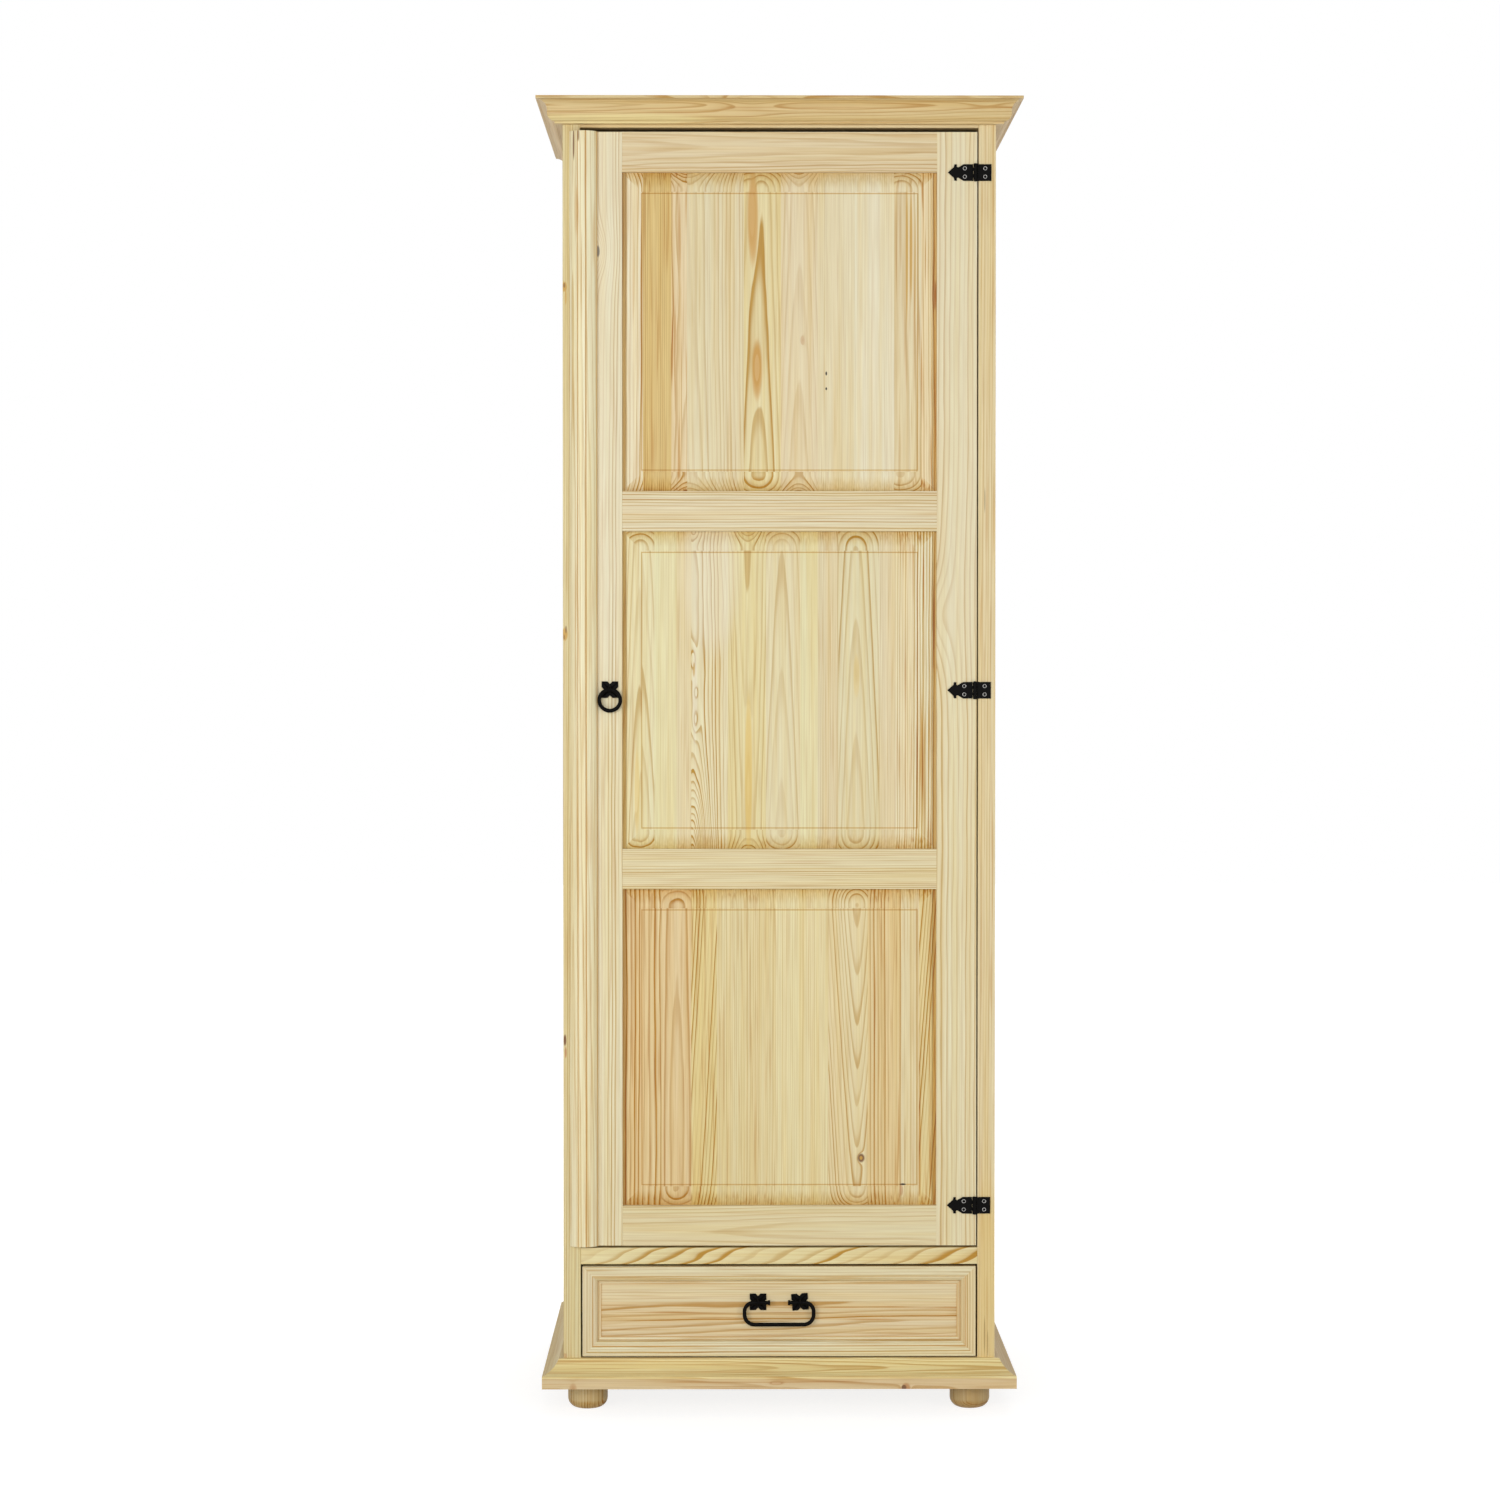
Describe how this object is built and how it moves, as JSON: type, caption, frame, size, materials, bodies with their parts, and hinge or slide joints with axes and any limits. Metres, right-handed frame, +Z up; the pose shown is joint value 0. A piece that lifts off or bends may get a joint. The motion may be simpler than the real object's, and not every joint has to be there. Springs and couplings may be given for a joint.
{
  "type": "armoire",
  "caption": "Narrow pine armoire with a raised-panel door on surface hinges, a drawer with a bail pull, a cornice, a plinth and bun feet.",
  "frame": {"origin": "on the floor under the middle of the whole outline, cornice included", "axes": "+X to the right seen from the front, +Y to the back, +Z up; the door and drawer face -Y"},
  "size_m": [0.7, 0.6, 1.9],
  "materials": {
    "pine": "bare planed pine, matt",
    "pine_panel": "bare planed pine in glued staves, matt",
    "plywood": "raw plywood",
    "black_iron": "black satin over forged iron",
    "steel": "zinc-plated steel",
    "dark_plastic": "matt brown plastic"
  },
  "bodies": {
    "carcass": {"side_panel_left": "pine", "side_panel_right": "pine", "post_left": "pine", "post_right": "pine", "top_rail": "pine", "divider_rail": "pine", "top_panel": "pine", "compartment_floor": "pine", "bottom_panel": "pine", "back_panel": "plywood", "hat_shelf": "pine", "shelf_cleats": "pine", "hanging_rail": "steel", "rail_sockets": "steel", "cornice_front": "pine", "cornice_left": "pine", "cornice_right": "pine", "plinth_front": "pine", "plinth_left": "pine", "plinth_right": "pine", "foot_front_left": "pine", "foot_front_right": "pine", "foot_back_left": "pine", "foot_back_right": "pine", "foot_blocks": "pine", "drawer_runner_left": "pine", "drawer_runner_right": "pine", "catch_magnet": "dark_plastic", "hinge_post_leaves": "black_iron", "hinge_pins": "black_iron", "hinge_post_screws": "steel"},
    "door": {"door_stile_lock": "pine", "door_stile_hinge": "pine", "door_rail_top": "pine", "door_rail_upper": "pine", "door_rail_lower": "pine", "door_rail_bottom": "pine", "door_panel_top": "pine_panel", "door_panel_middle": "pine_panel", "door_panel_bottom": "pine_panel", "door_cover_strip": "pine", "hinge_door_leaves": "black_iron", "hinge_door_screws": "steel", "catch_plate": "steel", "ring_rosette": "black_iron", "ring_eye": "black_iron"},
    "ring": {"door_ring": "black_iron"},
    "drawer": {"drawer_frame_top": "pine", "drawer_frame_bottom": "pine", "drawer_frame_left": "pine", "drawer_frame_right": "pine", "drawer_front_panel": "pine_panel", "drawer_side_left": "pine", "drawer_side_right": "pine", "drawer_back": "pine", "drawer_bottom": "plywood", "bail_rosettes": "black_iron", "bail_eyes": "black_iron"},
    "bail": {"drawer_bail": "black_iron"}
  },
  "joints": [
    {"name": "door_swing", "type": "hinge", "parent": "carcass", "child": "door", "pos_m": [0.2834, -0.2663, 1], "axis": [0, 0, 1], "range_deg": [0, 170]},
    {"name": "ring_swing", "type": "hinge", "parent": "door", "child": "ring", "pos_m": [-0.245, -0.271, 1.048], "axis": [-1, 0, 0], "range_deg": [0, 120]},
    {"name": "drawer_slide", "type": "slide", "parent": "carcass", "child": "drawer", "axis": [0, -1, 0], "range_m": [0, 0.38]},
    {"name": "bail_swing", "type": "hinge", "parent": "drawer", "child": "bail", "pos_m": [0, -0.26, 0.15725], "axis": [-1, 0, 0], "range_deg": [0, 95]}
  ]
}
